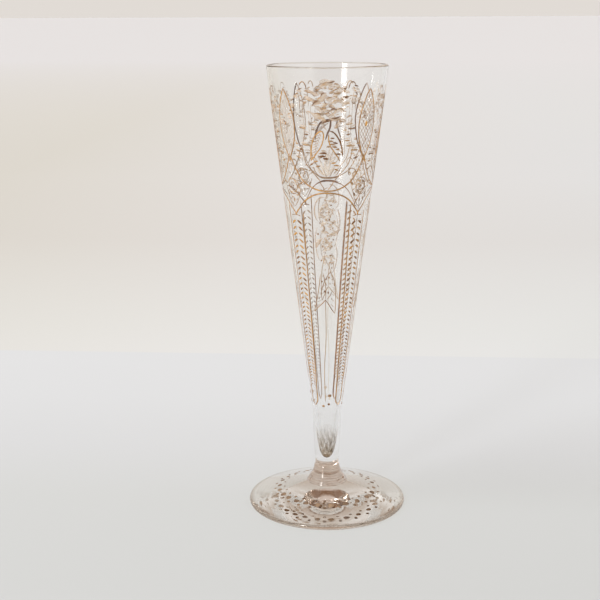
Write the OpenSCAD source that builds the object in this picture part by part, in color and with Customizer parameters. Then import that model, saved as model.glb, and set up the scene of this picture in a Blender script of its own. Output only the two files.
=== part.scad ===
// Conical champagne flute in clear glass: a tall straight-sided bowl with a solid tail,
// a flared button stem, a heavy flat-bottomed foot, and fired gilding on bowl and foot.
// Millimetres, +Z up. The origin is on the axis of the flute, in the plane it stands on.

/* [Bowl] */
// Height of the whole flute, from the table to the lip
total_h = 200; // [196:1:206]
// Outside radius at the lip
lip_r = 26.4; // [25.8:0.1:27]
// Height at which the straight cone ends and the tail begins
tail_top_z = 44; // [43:0.5:45]
// Outside radius at the top of the tail
tail_top_r = 6.43; // [6.2:0.01:6.6]
// Wall thickness at the lip
lip_wall = 1.3; // [1.1:0.1:1.6]
// Height at which the inner cone ends and the rounded well begins
well_top_z = 50; // [48:0.5:52]
// Inside radius at the top of the well
well_top_r = 4.95; // [4.6:0.05:5.1]
// Height of the bottom of the well
well_bottom_z = 21.5; // [20.5:0.1:23]

/* [Stem and foot] */
// Height of the joint between the tail of the bowl and the button stem
stem_top_z = 17.6; // [17.2:0.1:18]
// Radius of the joint between the tail of the bowl and the button stem
stem_top_r = 5.75; // [5.6:0.05:5.9]
// Height of the joint between the button stem and the foot
stem_bottom_z = 10; // [9.5:0.1:10.5]
// Radius of the joint between the button stem and the foot
stem_bottom_r = 9.2; // [9:0.1:9.6]
// Largest radius of the foot
foot_r = 36; // [35:0.5:37]
// Thickness of the rounded edge of the foot
foot_edge_t = 2.4; // [2.2:0.1:2.6]
// Inner radius of the flat ring that the foot stands on
stand_ring_r = 29; // [26:0.5:31]
// Rise of the hollow underside, at its middle
hollow_rise = 0.5; // [0.3:0.1:0.8]

/* [Gilding] */
// Thickness of the fired gold
gold_t = 0.1; // [0.08:0.01:0.15]
// Thickness of the matt enamel petals
enamel_t = 0.15; // [0.1:0.01:0.2]
// Width of a fine painted line
fine_line = 0.45; // [0.3:0.05:0.5]
// Width of a bold painted line
bold_line = 0.6; // [0.5:0.05:0.7]
// Number of painted panels round the bowl
panels = 4; // [4:4]
// Height of the lower tip of each lancet
lancet_z0 = 161.8; // [161.5:0.1:162]
// Height of the upper tip of each lancet
lancet_z1 = 191.5; // [191:0.5:193]
// Half width of a lancet, as an angle round the bowl
lancet_half = 11; // [10:0.5:12]
// Height of the middle of each swag
swag_z = 148.2; // [148:0.1:148.4]
// Height of the crown of each arch
arch_z = 147; // [146.5:0.1:147.2]
// Height of the top of each pointed band
band_z1 = 137; // [136.5:0.5:137.5]
// Height of the tip of each pointed band
band_z0 = 47.8; // [47.4:0.1:48.4]
// Half width of a band, as an angle round the bowl
band_half = 13; // [12:0.5:13]
// Rows of chevron leaves in one band
leaf_rows = 38; // [20:1:40]

/* [Dots on the foot] */
// Number of large dots
dot_count = 24; // [20:2:26]
// Radius of the ring of large dots
dot_ring_r = 22.05; // [21.6:0.05:22.5]
// Diameter of a large dot
large_dot_d = 2.6; // [2.3:0.1:3]
// Diameter of a small outer dot
outer_dot_d = 1.6; // [1.4:0.1:1.8]
// Diameter of a small inner dot
inner_dot_d = 1.4; // [1.2:0.1:1.6]

/* [Hidden] */

$fn = 96;
gold = [0.76, 0.60, 0.38];
dark_gold = [0.62, 0.46, 0.28];
enamel = [0.86, 0.80, 0.72];
clear_glass = [0.86, 0.87, 0.84, 0.35];

panel_step = 360 / panels;
lip_round = lip_wall / 2;
cone_slope = (lip_r - tail_top_r) / (total_h - lip_round - tail_top_z);
edge_round = foot_edge_t / 2;
foot_lean = atan((stem_bottom_z - foot_edge_t) / (foot_r - edge_round - stem_bottom_r));
edge_top_r = foot_r - edge_round + edge_round * sin(foot_lean);
edge_top_z = edge_round + edge_round * cos(foot_lean);
foot_slope = (stem_bottom_z - edge_top_z) / (edge_top_r - stem_bottom_r);

// Points along a smooth curve through the given points, a few to each stretch
function smooth_at(a, b, c, d, t) =
    0.5 * (2 * b + (c - a) * t + (2 * a - 5 * b + 4 * c - d) * t * t
           + (3 * b - a - 3 * c + d) * t * t * t);
function smooth(p, steps = 5) = let (last = len(p) - 1) concat(
    [for (i = [0:last - 1], s = [0:steps - 1])
        smooth_at(p[max(i - 1, 0)], p[i], p[i + 1], p[min(i + 2, last)], s / steps)],
    [p[last]]);

// Points on an arc in the plane of an outline
function arc(cx, cy, r, from, to, steps = 10) =
    [for (i = [0:steps]) let (a = from + (to - from) * i / steps)
        [cx + r * cos(a), cy + r * sin(a)]];

// Outside radius of the straight cone of the bowl at height z
function cone_r(z) = tail_top_r + (z - tail_top_z) * cone_slope;

// Height of the top of the foot at radius r
function foot_top_z(r) = stem_bottom_z - (r - stem_bottom_r) * foot_slope;

// Outlines of the three gathers of glass, as radius and height

function bowl_outline() = concat(
    [[0, stem_top_z]],
    smooth([[stem_top_r, stem_top_z], [5.4, 18.5], [5.3, 20.6], [5.62, 24], [6.1, 31],
            [6.36, 38.5], [tail_top_r, tail_top_z]]),
    arc(lip_r - lip_round, total_h - lip_round, lip_round, 0, 180),
    smooth([[well_top_r, well_top_z], [3.5, 37.5], [2.5, 28.5], [1.9, 24.7],
            [1.1, 22.3], [0, well_bottom_z]])
);

function stem_outline() = concat(
    [[0, stem_bottom_z]],
    smooth([[stem_bottom_r, stem_bottom_z], [8.5, 11.5], [7.3, 13.2], [6.3, 15.2],
            [stem_top_r, stem_top_z]]),
    [[0, stem_top_z]]
);

function foot_outline() = concat(
    [[0, stem_bottom_z], [0, hollow_rise]],
    [for (i = [1:12]) let (s = i / 12) [stand_ring_r * s, hollow_rise * (1 - s * s)]],
    arc(foot_r - edge_round, edge_round, edge_round, -90, 90 - foot_lean),
    [[stem_bottom_r, stem_bottom_z]]
);

module bowl() {
    color(clear_glass) rotate_extrude() polygon(bowl_outline());
}

module stem() {
    color(clear_glass) rotate_extrude() polygon(stem_outline());
}

module foot() {
    color(clear_glass) rotate_extrude() polygon(foot_outline());
}

// The painted layer on the bowl. A motif is drawn flat, seen square on from the front of
// its panel, and the layer keeps the part of it that lies against the cone.

// A point at angle a round the bowl and height z, on that flat drawing
function flat(a, z) = [cone_r(z) * sin(a), z];
function flat_all(p) = [for (q = p) flat(q[0], q[1])];

module bowl_skin(t, z0, z1) {
    rotate_extrude()
        polygon([[cone_r(z0), z0], [cone_r(z0) + t, z0], [cone_r(z1) + t, z1], [cone_r(z1), z1]]);
}

module on_bowl(t, z0, z1, turn = 0) {
    for (k = [0:panels - 1])
        rotate([0, 0, panel_step * k + turn])
            intersection() {
                bowl_skin(t, z0, z1);
                rotate([90, 0, 0])
                    linear_extrude(height = lip_r + 4)
                        children();
            }
}

// A painted line of even width along a path
function unit(v) = v / norm(v);
function side_of(p, i) = let (a = p[max(i - 1, 0)], b = p[min(i + 1, len(p) - 1)], d = unit(b - a))
    [-d[1], d[0]];
module painted_line(p, w) {
    left = [for (i = [0:len(p) - 1]) p[i] + side_of(p, i) * w / 2];
    right = [for (i = [len(p) - 1:-1:0]) p[i] - side_of(p, i) * w / 2];
    polygon(concat(left, right));
}

// A pointed oval about the height z, turned by an angle in its own plane
module petal(a, z, long, wide, turn = 0) {
    translate(flat(a, z))
        rotate(turn)
            polygon([for (i = [0:9]) let (t = 36 * i)
                [long / 2 * cos(t), wide / 2 * sin(t) * (0.55 + 0.45 * abs(sin(t)))]]);
}

module dab(a, z, d) {
    translate(flat(a, z)) circle(d = d, $fn = 24);
}

// Lancets, centred between the panels

function lancet_side(sign, inset) = [for (i = [0:16]) let (s = i / 16)
    flat(sign * lancet_half * pow(sin(180 * s), 0.85), lancet_z0 + (lancet_z1 - lancet_z0) * s)
    - [sign * inset * sin(180 * s), 0]];
function lancet_shape(inset) = concat(
    [for (i = [0:16]) lancet_side(1, inset)[i]],
    [for (i = [15:-1:1]) lancet_side(-1, inset)[i]]);

module lancet_outlines() {
    color(gold)
        on_bowl(gold_t, lancet_z0 - 1, lancet_z1 + 1, panel_step / 2)
            for (sign = [-1, 1])
                painted_line(lancet_side(sign, bold_line / 2), bold_line);
}

lattice_pitch = 3.4;
lattice_w = 0.25;
lattice_n = 4;
lattice_tilt = 38;

module lancet_lattice() {
    middle_z = (lancet_z0 + lancet_z1) / 2;
    color(dark_gold)
        on_bowl(gold_t, lancet_z0, lancet_z1, panel_step / 2)
            intersection() {
                translate([0, 0.05 * middle_z]) scale([1, 0.95]) polygon(lancet_shape(bold_line + 0.25));
                union() {
                    for (side = [-1, 1], i = [-lattice_n:lattice_n])
                        translate([0, middle_z + i * lattice_pitch])
                            rotate(side * lattice_tilt)
                                square([14, lattice_w], center = true);
                }
            }
}

bead_d = 1.4;

module lancet_beads() {
    color(gold)
        on_bowl(4 * gold_t, 174, 180, panel_step / 2)
            translate([0.9, 0]) dab(0, 176.6, bead_d);
}

// Swags and arches, one of each to a panel

swag_rise = 12.6;
arch_drop = 8.6;
sweep_half = 44;

module swags() {
    path = [for (a = [-sweep_half:4:sweep_half])
        flat(a, swag_z + swag_rise * pow(abs(a) / 45, 2.9))];
    color(gold) on_bowl(gold_t, swag_z - 2, swag_z + swag_rise + 2) painted_line(path, bold_line);
}

module arcade_arches() {
    path = [for (a = [-sweep_half:4:sweep_half])
        flat(a, arch_z - arch_drop * pow(abs(a) / 45, 2.4))];
    color(gold) on_bowl(gold_t, arch_z - arch_drop - 2, arch_z + 2) painted_line(path, bold_line);
}

// Pointed bands with their chevron leaves, centred between the panels

shoulder_z = 50.5;

module band_borders() {
    path = [flat(-band_half, band_z1), flat(-band_half, shoulder_z), flat(0, band_z0),
            flat(band_half, shoulder_z), flat(band_half, band_z1)];
    color(gold) on_bowl(gold_t, band_z0 - 1, band_z1 + 1, panel_step / 2) painted_line(path, bold_line);
}

leaf_z0 = 60;
leaf_z1 = 134;

module band_leaves() {
    // Rows crowd together as the band narrows, so their heights follow a constant ratio
    ratio = pow(cone_r(leaf_z1) / cone_r(leaf_z0), 1 / (leaf_rows - 1));
    color(gold)
        on_bowl(gold_t, leaf_z0 - 3, leaf_z1 + 3, panel_step / 2)
            for (i = [0:leaf_rows - 1]) {
                r = cone_r(leaf_z0) * pow(ratio, i);
                z = tail_top_z + (r - tail_top_r) / cone_slope;
                reach = r * sin(band_half - 2.5) - 0.3;
                drop = 0.45 * reach;
                thick = 0.035 * r + 0.2;
                polygon([[-reach, z - drop], [0, z], [reach, z - drop], [0, z + thick]]);
            }
}

// Roses in the spandrels between the arches

module rose_ring(z, r, w) {
    translate([0, z])
        difference() {
            circle(r = r, $fn = 40);
            circle(r = r - w, $fn = 40);
        }
}

rose_z = 149.3;

module spandrel_roses() {
    color(gold)
        on_bowl(gold_t, rose_z - 8, rose_z + 8, panel_step / 2) {
            rose_ring(rose_z, 3.7, 0.5);
            rose_ring(rose_z, 2.4, 0.4);
            dab(0, rose_z, 1.4);
            for (side = [-1, 1]) {
                petal(side * 17.5, rose_z + 4.6, 3, 1.2, side * 28);
                petal(side * 15, rose_z - 1.5, 2.6, 1, side * -20);
                petal(side * 7, rose_z - 5.4, 2.4, 0.9, side * 50);
            }
        }
}

// Bouquet at the top of each panel: rows of petals, widest at the middle

bouquet_rows = [[193.4, 3], [191.2, 4], [188.9, 5], [186.6, 4], [184.2, 4], [181.8, 3], [179.4, 2]];
petal_gap = 9.5;

module bouquet_petals() {
    color(dark_gold)
        on_bowl(gold_t, 176, 197)
            for (row = bouquet_rows, i = [0:row[1] - 1])
                petal((i - (row[1] - 1) / 2) * petal_gap, row[0], 3.6, 1.35, i % 2 == 0 ? 8 : -8);
}

// Two pointed leaves that lean together like a tulip

function tulip_leaf(sign) = smooth(flat_all(
    [[sign * 17.5, 161.8], [sign * 17.4, 166], [sign * 15, 170.5], [sign * 9, 173.6],
     [sign * 4.2, 172.6], [sign * 5.5, 169], [sign * 10, 165.4], [sign * 14.5, 163]]), 3);

module tulip_leaves() {
    color(gold)
        on_bowl(gold_t, 160, 176)
            for (side = [-1, 1]) {
                painted_line(tulip_leaf(side), fine_line);
                petal(side * 9.5, 169.3, 2.6, 0.8, side * -28);
                petal(side * 11.5, 167, 2.4, 0.8, side * -28);
            }
}

// Buds below the tulips: a fan of enamel petals

module bud_palmettes() {
    color(enamel)
        on_bowl(enamel_t, 150, 164) {
            for (side = [-1, 1], lean = [18, 46])
                petal(side * (1.8 + lean / 12), 159.2 - lean / 16, 5.4, 1.5, 90 - side * lean);
            petal(0, 160.2, 5, 1.3, 90);
            for (side = [-1, 1])
                petal(side * 12, 155.3, 4.6, 0.8, side * 24);
        }
}

// Long stems with hooked tops on both sides of the bouquet

module side_scrolls() {
    color(gold)
        on_bowl(gold_t, 150, 196)
            for (side = [-1, 1]) {
                painted_line(smooth(flat_all([[side * 20.5, 190], [side * 22.2, 193.2], [side * 25.5, 193.6],
                                              [side * 27, 191.6]]), 4), fine_line);
                painted_line(smooth(flat_all([[side * 24.5, 185], [side * 23.6, 177], [side * 25, 169]]), 4),
                             fine_line);
                painted_line(smooth(flat_all([[side * 27.5, 166], [side * 25.5, 160.5], [side * 19.5, 157],
                                              [side * 10.5, 152.6]]), 4), fine_line);
                petal(side * 28.5, 174.5, 2.4, 1, side * 10);
                petal(side * 31, 165.5, 2.2, 1, side * -12);
                petal(side * 33.5, 162.4, 2, 0.9, side * 8);
            }
}

// Hanging flowers in each arch: three blooms of round petals

bloom_heights = [138.6, 131, 123.4];
bloom_petals = 5;

module pendant_flowers() {
    color(enamel)
        on_bowl(enamel_t, 112, 145)
            for (i = [0:2]) {
                z = bloom_heights[i];
                side = i % 2 == 0 ? 0.6 : -0.6;
                size = 2.7 - 0.25 * i;
                dab(side, z, size * 0.55);
                for (k = [0:bloom_petals - 1])
                    translate(flat(0, z) + [side, 0])
                        rotate(72 * k + 18)
                            translate([size * 0.86, 0])
                                circle(d = size * 0.86, $fn = 24);
                for (end = [-1, 1])
                    petal(end * 13, z - 3.6, 3, 1.1, end * 30);
            }
}

// Tassel below the flowers: two pointed leaves that spread from one point

function tassel_leaf(sign) = smooth(flat_all(
    [[sign * 2.6, 100], [sign * 9, 97.5], [sign * 19, 93.6], [sign * 17, 99],
     [sign * 13, 106], [sign * 9, 110.5]]), 4);

module tassel_leaves() {
    color(gold)
        on_bowl(gold_t, 92, 113)
            for (side = [-1, 1]) {
                painted_line(tassel_leaf(side), fine_line);
                dab(side * 6.5, 103.5, 0.9);
            }
}

// Wavering line down the middle of each panel

module centre_lines() {
    path = smooth(flat_all([[-1, 98.5], [-1.5, 88], [-3, 76], [-6, 66], [-7, 58], [-5, 50.5]]), 4);
    color(gold) on_bowl(gold_t, 49, 100) painted_line(path, fine_line);
}

tip_dot_d = 1.2;
tip_places = [[9, 53], [7, 48.8], [-14, 48]];

module tip_dots() {
    color(gold)
        on_bowl(gold_t, 45, 55)
            for (place = tip_places)
                dab(place[0], place[1], tip_dot_d);
}

// Rings of dots on the foot

module foot_skin() {
    inner_r = dot_ring_r - 5;
    outer_r = dot_ring_r + 5;
    rotate_extrude()
        polygon([[inner_r, foot_top_z(inner_r)], [outer_r, foot_top_z(outer_r)],
                 [outer_r, foot_top_z(outer_r) + gold_t], [inner_r, foot_top_z(inner_r) + gold_t]]);
}

module dot_ring(r, d, turn) {
    intersection() {
        foot_skin();
        union() {
            for (k = [0:dot_count - 1])
                rotate([0, 0, turn + 360 / dot_count * k])
                    translate([r, 0, 0])
                        cylinder(d = d, h = stem_bottom_z, $fn = 32);
        }
    }
}

module foot_large_dots() {
    color(gold) dot_ring(dot_ring_r, large_dot_d, 0);
}

module foot_small_dots() {
    half_step = 180 / dot_count;
    color(gold) dot_ring(dot_ring_r + 1.85, outer_dot_d, half_step);
    color(gold) dot_ring(dot_ring_r - 2.3, inner_dot_d, half_step);
}

bowl();
stem();
foot();
lancet_outlines();
lancet_lattice();
lancet_beads();
swags();
arcade_arches();
band_borders();
band_leaves();
spandrel_roses();
bouquet_petals();
tulip_leaves();
bud_palmettes();
side_scrolls();
pendant_flowers();
tassel_leaves();
centre_lines();
tip_dots();
foot_large_dots();
foot_small_dots();
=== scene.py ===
"""Looks of the champagne flute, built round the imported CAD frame. Metres, +Z up."""
import math
import random

import bpy
import numpy as np
from mathutils import Matrix, Vector

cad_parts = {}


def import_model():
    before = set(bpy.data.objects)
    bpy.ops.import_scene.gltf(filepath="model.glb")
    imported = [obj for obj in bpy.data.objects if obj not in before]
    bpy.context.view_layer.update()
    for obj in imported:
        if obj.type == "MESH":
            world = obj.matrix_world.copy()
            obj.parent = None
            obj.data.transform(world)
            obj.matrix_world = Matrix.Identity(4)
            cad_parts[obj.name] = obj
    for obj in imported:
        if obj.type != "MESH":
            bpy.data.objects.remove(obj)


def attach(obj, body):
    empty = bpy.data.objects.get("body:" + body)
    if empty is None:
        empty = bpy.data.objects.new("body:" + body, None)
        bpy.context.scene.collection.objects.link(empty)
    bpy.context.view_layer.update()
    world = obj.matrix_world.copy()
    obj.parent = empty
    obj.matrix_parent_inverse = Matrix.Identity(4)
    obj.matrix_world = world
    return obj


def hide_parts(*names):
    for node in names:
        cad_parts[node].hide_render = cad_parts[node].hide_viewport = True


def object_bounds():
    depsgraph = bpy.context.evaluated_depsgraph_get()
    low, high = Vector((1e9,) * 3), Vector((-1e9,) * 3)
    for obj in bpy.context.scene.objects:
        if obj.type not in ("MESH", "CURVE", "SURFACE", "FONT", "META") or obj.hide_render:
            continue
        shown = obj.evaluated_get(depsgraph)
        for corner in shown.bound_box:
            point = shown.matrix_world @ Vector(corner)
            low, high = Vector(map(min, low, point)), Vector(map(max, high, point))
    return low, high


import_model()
cad_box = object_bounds()

MM = 0.001
MIDDLE_X = (cad_box[0][0] + cad_box[1][0]) / 2
LIP_Z = cad_box[1][2] / MM
rng = random.Random(7)


def jog(amount):
    """A small random shift either way, as a hand makes."""
    return rng.uniform(-amount, amount)


def cos_sin(degrees):
    return math.cos(math.radians(degrees)), math.sin(math.radians(degrees))


def add_object(name, data):
    piece = bpy.data.objects.new(name, data)
    bpy.context.scene.collection.objects.link(piece)
    return piece


# ======== camera

CAMERA_BACK, CAMERA_UP = 0.52911, 0.22281
PITCH, YAW, ROLL = math.radians(13.497), math.radians(1.32), math.radians(0.23)
LENS_MM, SENSOR_MM = 72.51, 36.0


def make_camera():
    data = bpy.data.cameras.new("camera")
    data.lens, data.sensor_width = LENS_MM, SENSOR_MM
    data.clip_start, data.clip_end = 0.01, 200
    camera = add_object("camera", data)
    turn = Matrix.Rotation(YAW, 4, "Z") @ Matrix.Rotation(math.pi / 2 - PITCH, 4, "X")
    turn = turn @ Matrix.Rotation(-ROLL, 4, "Z")
    camera.matrix_world = Matrix.Translation((MIDDLE_X, -CAMERA_BACK, CAMERA_UP)) @ turn
    bpy.context.scene.camera = camera


make_camera()

# ======== shapes of the glass, in mm

TAIL_TOP = (6.43, 44.0)
WELL_TOP = (4.95, 50.0)
WALL = 1.3
LIP_R = 26.4
LIP_ROUND = WALL / 2
JOINT_HIGH, JOINT_LOW = (5.75, 17.6), (9.2, 10.0)
FOOT_R, FOOT_EDGE, STAND_R, HOLLOW = 36.0, 2.4, 29.0, 0.5
EDGE_ROUND = FOOT_EDGE / 2
CONE_SLOPE = (LIP_R - TAIL_TOP[0]) / (LIP_Z - LIP_ROUND - TAIL_TOP[1])
FOOT_LEAN = math.atan((JOINT_LOW[1] - FOOT_EDGE) / (FOOT_R - EDGE_ROUND - JOINT_LOW[0]))
EDGE_TOP = (FOOT_R - EDGE_ROUND + EDGE_ROUND * math.sin(FOOT_LEAN),
            EDGE_ROUND + EDGE_ROUND * math.cos(FOOT_LEAN))
FOOT_SLOPE = (JOINT_LOW[1] - EDGE_TOP[1]) / (EDGE_TOP[0] - JOINT_LOW[0])
HOLD = 0.04  # a ring this close to each end of a straight keeps its shading true
NEAR = 0.00001  # points closer than this are one
CURVE_STEPS, ARC_STEPS, TURNS = 12, 40, 256


def cone_r(z):
    return TAIL_TOP[0] + (z - TAIL_TOP[1]) * CONE_SLOPE


def foot_top_z(r):
    return JOINT_LOW[1] - (r - JOINT_LOW[0]) * FOOT_SLOPE


def smooth(points, steps=CURVE_STEPS):
    """Points along the smooth curve through the given points."""
    p = [np.array(q, float) for q in points]
    out = []
    for i in range(len(p) - 1):
        a, b, c, d = p[max(i - 1, 0)], p[i], p[i + 1], p[min(i + 2, len(p) - 1)]
        for s in range(steps):
            t = s / steps
            out.append(0.5 * (2 * b + (c - a) * t + (2 * a - 5 * b + 4 * c - d) * t * t
                              + (3 * b - a - 3 * c + d) * t ** 3))
    return out + [p[-1]]


def arc(cx, cy, r, start, end):
    angles = [start + (end - start) * i / ARC_STEPS for i in range(ARC_STEPS + 1)]
    return [(cx + r * math.cos(a), cy + r * math.sin(a)) for a in angles]


def straight(a, b, steps):
    """Points from a up to but not b, with a holding point at each end."""
    long = math.dist(a, b)
    shares = [0, HOLD / long] + [i / steps for i in range(1, steps)] + [1 - HOLD / long]
    return [(a[0] + (b[0] - a[0]) * s, a[1] + (b[1] - a[1]) * s) for s in shares]


def lathe(name, outline, materials, joints=()):
    """A closed solid of revolution; flat faces at the heights in joints take material 1."""
    points = [tuple(map(float, p)) for p in outline]
    clean = [points[0]]
    for p in points[1:]:
        if math.dist(p, clean[-1]) > NEAR:
            clean.append(p)
    verts, rings = [], []
    for r, z in clean:
        if r < NEAR:
            rings.append([len(verts)])
            verts.append((0, 0, z * MM))
        else:
            rings.append(list(range(len(verts), len(verts) + TURNS)))
            for k in range(TURNS):
                a = 2 * math.pi * k / TURNS
                verts.append((r * math.sin(a) * MM, -r * math.cos(a) * MM, z * MM))
    faces, slots = [], []
    for i in range(len(rings) - 1):
        low, high = rings[i], rings[i + 1]
        slot = int(any(abs(clean[i][1] - j) < NEAR and abs(clean[i + 1][1] - j) < NEAR for j in joints))
        for k in range(TURNS):
            n = (k + 1) % TURNS
            if len(low) == 1:
                faces.append((low[0], high[n], high[k]))
            elif len(high) == 1:
                faces.append((low[k], low[n], high[0]))
            else:
                faces.append((low[k], low[n], high[n], high[k]))
            slots.append(slot)
    mesh = bpy.data.meshes.new(name)
    mesh.from_pydata(verts, [], faces)
    mesh.polygons.foreach_set("material_index", slots)
    mesh.polygons.foreach_set("use_smooth", [s == 0 for s in slots])
    mesh.update()
    for m in materials:
        mesh.materials.append(m)
    return add_object(name, mesh)


# ======== node trees


class Shader:
    """A node tree. Each method adds a node, sets or links its inputs and gives back its output."""

    def __init__(self, owner):
        owner.use_nodes = True
        self.nodes, self.links = owner.node_tree.nodes, owner.node_tree.links
        self.nodes.clear()

    def add(self, kind, inputs=None, out=0, **settings):
        node = self.nodes.new("ShaderNode" + kind)
        for key, value in settings.items():
            setattr(node, key, value)
        for key, value in (inputs or {}).items():
            if isinstance(value, bpy.types.NodeSocket):
                self.links.new(value, node.inputs[key])
            else:
                node.inputs[key].default_value = value
        return node.outputs[out] if len(node.outputs) else None

    def xyz(self, source):
        """The three parts of a vector."""
        node = self.nodes.new("ShaderNodeSeparateXYZ")
        self.links.new(source, node.inputs["Vector"])
        return tuple(node.outputs)

    def maths(self, operation, *values):
        return self.add("Math", dict(enumerate(values)), operation=operation)

    def span(self, source, low, high, to_low=0.0, to_high=1.0):
        """The source between low and high, spread from to_low to to_high."""
        return self.add("MapRange", {"Value": source, "From Min": low, "From Max": high,
                                     "To Min": to_low, "To Max": to_high})

    def ramp(self, source, stops):
        """Colours at shares of the way from 0 to 1."""
        node = self.nodes.new("ShaderNodeValToRGB")
        elements = node.color_ramp.elements
        while len(elements) < len(stops):
            elements.new(0.5)
        for element, (at, colour) in zip(elements, stops):
            element.position = at
            element.color = (*colour, 1)
        self.links.new(source, node.inputs["Fac"])
        return node.outputs["Color"]

    def ramp_over(self, source, stops):
        """Colours laid along a length, from the first stop to the last."""
        low, high = stops[0][0], stops[-1][0]
        shares = [((at - low) / (high - low), colour) for at, colour in stops]
        return self.ramp(self.span(source, low, high), shares)

    def blend(self, share, first, second, blend_type="MIX"):
        return self.add("Mix", {"Factor": share, 6: first, 7: second}, 2, data_type="RGBA",
                        blend_type=blend_type)

    def noise(self, where, scale, detail, stretch=None):
        if stretch:
            where = self.add("Mapping", {"Vector": where, "Scale": stretch})
        return self.add("TexNoise", {"Vector": where, "Scale": scale, "Detail": detail}, "Fac")

    def bump(self, height, strength, distance, **under):
        return self.add("Bump", {"Height": height, "Strength": strength, "Distance": distance, **under})

    def either(self, share, first, second):
        """The first shader where the share is 0, the second where it is 1."""
        return self.add("MixShader", {"Fac": share, 1: first, 2: second})

    def show(self, shader):
        self.add("OutputMaterial", {"Surface": shader})


def new_material(name):
    m = bpy.data.materials.new(name)
    return m, Shader(m)


# ======== glass materials

IOR = 1.52
LIP_FADE = 0.0003
CORDS = (55, 55, 14)  # the striae are drawn out along the axis


def glass(name, tint, ripple=0.003, lip=None, edge=None, rings=None, rough=0.0):
    """Clear glass that lets lamps through, with faint striae and local tints.

    lip: z above which it browns, a painted shade, colour; edge: inner and outer radius of a painted shade
    towards the rim, colour;
    rings: wave type, scale, relief, colour.
    """
    m, t = new_material(name)
    where = t.add("TexCoord", out="Object")
    height = t.xyz(where)[2]
    flat = t.add("VectorMath", {0: where, 1: (1, 1, 0)}, operation="MULTIPLY")
    reach = t.add("VectorMath", {0: flat}, "Value", operation="LENGTH")
    striae = t.noise(where, 1.0, 2.0, CORDS)
    normal = t.bump(striae, ripple, 0.002)
    colour = t.ramp(striae, [(0.3, tint), (0.7, [min(1, c + 0.012) for c in tint])])
    if rings:
        kind, scale, relief, shade = rings
        wave = t.add("TexWave", {"Vector": where, "Scale": scale, "Distortion": 2.5, "Detail": 2.0,
                                 "Detail Scale": 1.2}, "Fac",
                     wave_type=kind, rings_direction="Z", bands_direction="Z")
        normal = t.bump(wave, 1.0, relief, Normal=normal)
        colour = t.blend(t.span(wave, 0.35, 1.0), colour, (*shade, 1))
    # painted shade: the glass darkens to this colour towards the rounded rim of the foot
    if edge:
        inner, outer, shade = edge
        colour = t.blend(t.span(reach, inner, outer), colour, (*shade, 1))
    # painted shade: the rounded lip browns above this height
    if lip:
        start, shade = lip
        colour = t.blend(t.span(height, start - LIP_FADE, start + LIP_FADE), colour, (*shade, 1))
    body = t.add("BsdfPrincipled", {"Base Color": colour, "Normal": normal, "Roughness": rough,
                                    "IOR": IOR, "Transmission Weight": 1.0})
    clear = t.add("BsdfTransparent", {"Color": (0.97, 0.965, 0.95, 1)})
    through = t.maths("MAXIMUM", t.add("LightPath", out="Is Shadow Ray"),
                      t.add("LightPath", out="Is Diffuse Ray"))
    t.show(t.either(through, body, clear))
    return m


def joint_material():
    """The hot joint between two gathers: clear, with a faint uneven tint."""
    m, t = new_material("hot_joint")
    cords = t.noise(t.add("TexCoord", out="Object"), 400, 2.0)
    tint = t.ramp(cords, [(0.35, (0.84, 0.75, 0.69)), (0.65, (0.95, 0.90, 0.86))])
    t.show(t.add("BsdfTransparent", {"Color": tint}))
    return m


DREGS_LOW, DREGS_HIGH = 0.0235, 0.0365


def dregs_material():
    """Dried dregs: grains and runs that get sparser with height."""
    m, t = new_material("dried_dregs")
    where = t.add("TexCoord", out="Object")
    rise = t.span(t.xyz(where)[2], DREGS_HIGH, DREGS_LOW)
    grain = t.noise(where, 1.0, 4.0, (1500, 1500, 330))
    cover = t.maths("MULTIPLY", rise, t.span(grain, 0.34, 0.66, 0.0, 0.62))
    tone = t.ramp(grain, [(0.3, (0.42, 0.30, 0.16)), (0.7, (0.16, 0.10, 0.045))])
    body = t.add("BsdfPrincipled", {"Base Color": tone, "Roughness": 0.9, "Specular IOR Level": 0.0})
    t.show(t.either(cover, t.add("BsdfTransparent"), body))
    return m


# painted shade: the bowl browns at its rounded lip and the foot darkens at its rounded rim
bowl_glass = glass("bowl_glass", (0.985, 0.984, 0.98), 0.006,
                   lip=((LIP_Z - 0.5) * MM, (0.80, 0.73, 0.66)))
foot_glass = glass("foot_glass", (0.972, 0.953, 0.936), edge=(0.0335, 0.0359, (0.56, 0.47, 0.39)),
                   rings=("RINGS", 190, 0.0000012, (0.925, 0.893, 0.86)))
stem_glass = glass("stem_glass", (0.88, 0.79, 0.73),
                   rings=("BANDS", 330, 0.000005, (0.50, 0.34, 0.26)), rough=0.12)
hot_joint = joint_material()

# ======== glass pieces

TAIL = [JOINT_HIGH, (5.4, 18.5), (5.3, 20.6), (5.62, 24), (6.1, 31), (6.36, 38.5), TAIL_TOP]
WELL = [WELL_TOP, (3.5, 37.5), (2.5, 28.5), (1.9, 24.7), (1.1, 22.3), (0, 21.5)]
STEM_SIDE = [JOINT_LOW, (8.5, 11.5), (7.3, 13.2), (6.3, 15.2), JOINT_HIGH]
SKIN_NEAR, SKIN_FAR = 0.05, 0.10  # the dregs lie this far off the wall of the well


def bowl_outline():
    lip = arc(LIP_R - LIP_ROUND, LIP_Z - LIP_ROUND, LIP_ROUND, 0, math.pi)
    return ([(0, JOINT_HIGH[1])] + smooth(TAIL)[:-1] + straight(TAIL_TOP, lip[0], 24) + lip[:-1]
            + straight(lip[-1], WELL_TOP, 24) + smooth(WELL))


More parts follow.
